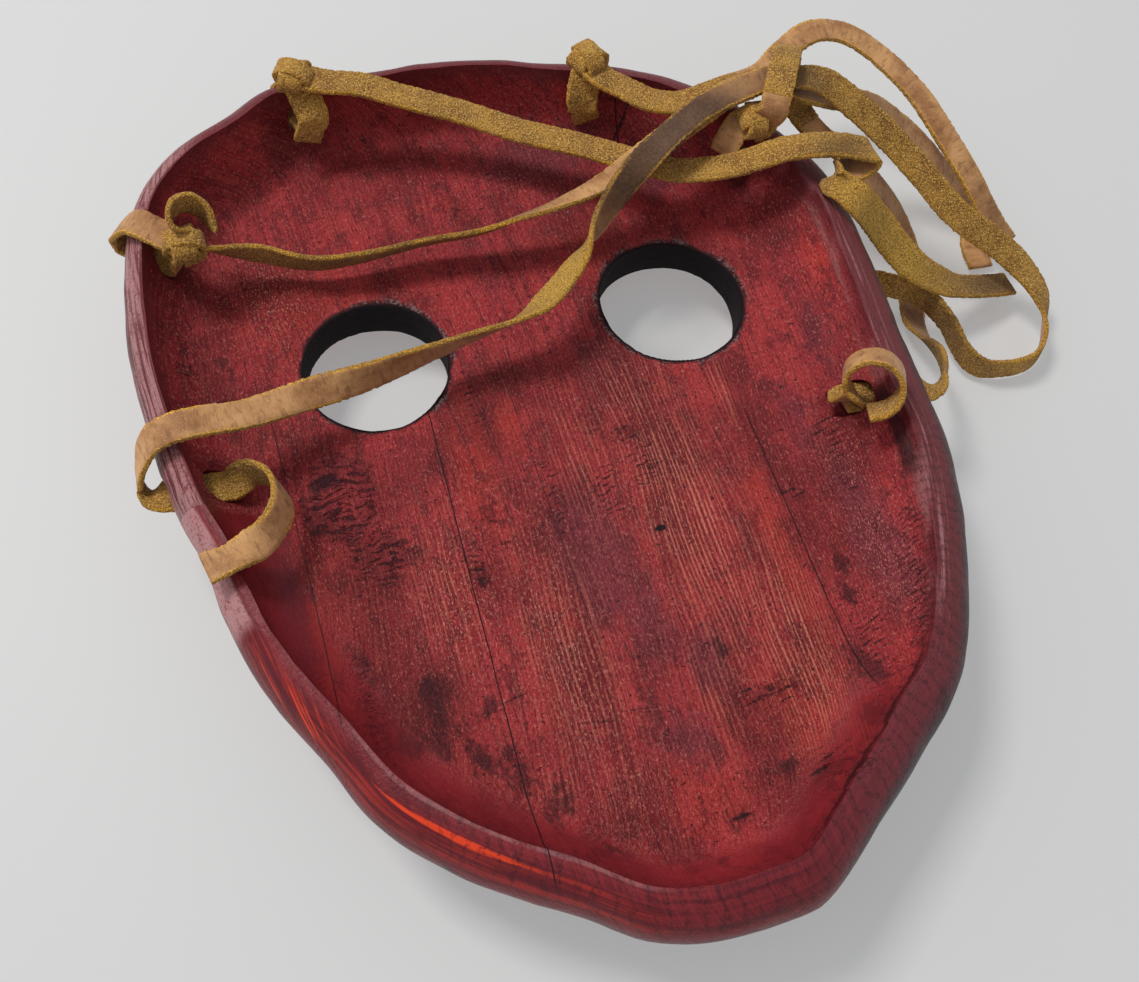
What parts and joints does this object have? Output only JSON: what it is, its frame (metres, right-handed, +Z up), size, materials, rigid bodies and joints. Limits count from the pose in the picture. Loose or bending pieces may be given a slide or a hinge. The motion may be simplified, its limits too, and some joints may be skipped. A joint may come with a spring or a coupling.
{
  "type": "wooden folk mask",
  "caption": "Carved wooden mask lying face down: oval board hollowed at the back, round eye holes, and flat leather tie thongs through holes in its rim.",
  "frame": {"origin": "middle of the mask's outline, on the surface that its brow ridges and chin rest on", "axes": "+Y towards the forehead, +X towards the side where the thongs' loose ends gather, +Z up out of the hollow back"},
  "size_m": [0.3313, 0.3093, 0.0742],
  "materials": {
    "stained_pine": "satin",
    "tan_leather": "matt"
  },
  "bodies": {
    "root": {"mask_body": "stained_pine", "thong_left_upper": "tan_leather", "thong_left_lower": "tan_leather", "thong_top_left": "tan_leather", "thong_top_right": "tan_leather", "thong_right": "tan_leather"}
  },
  "joints": []
}
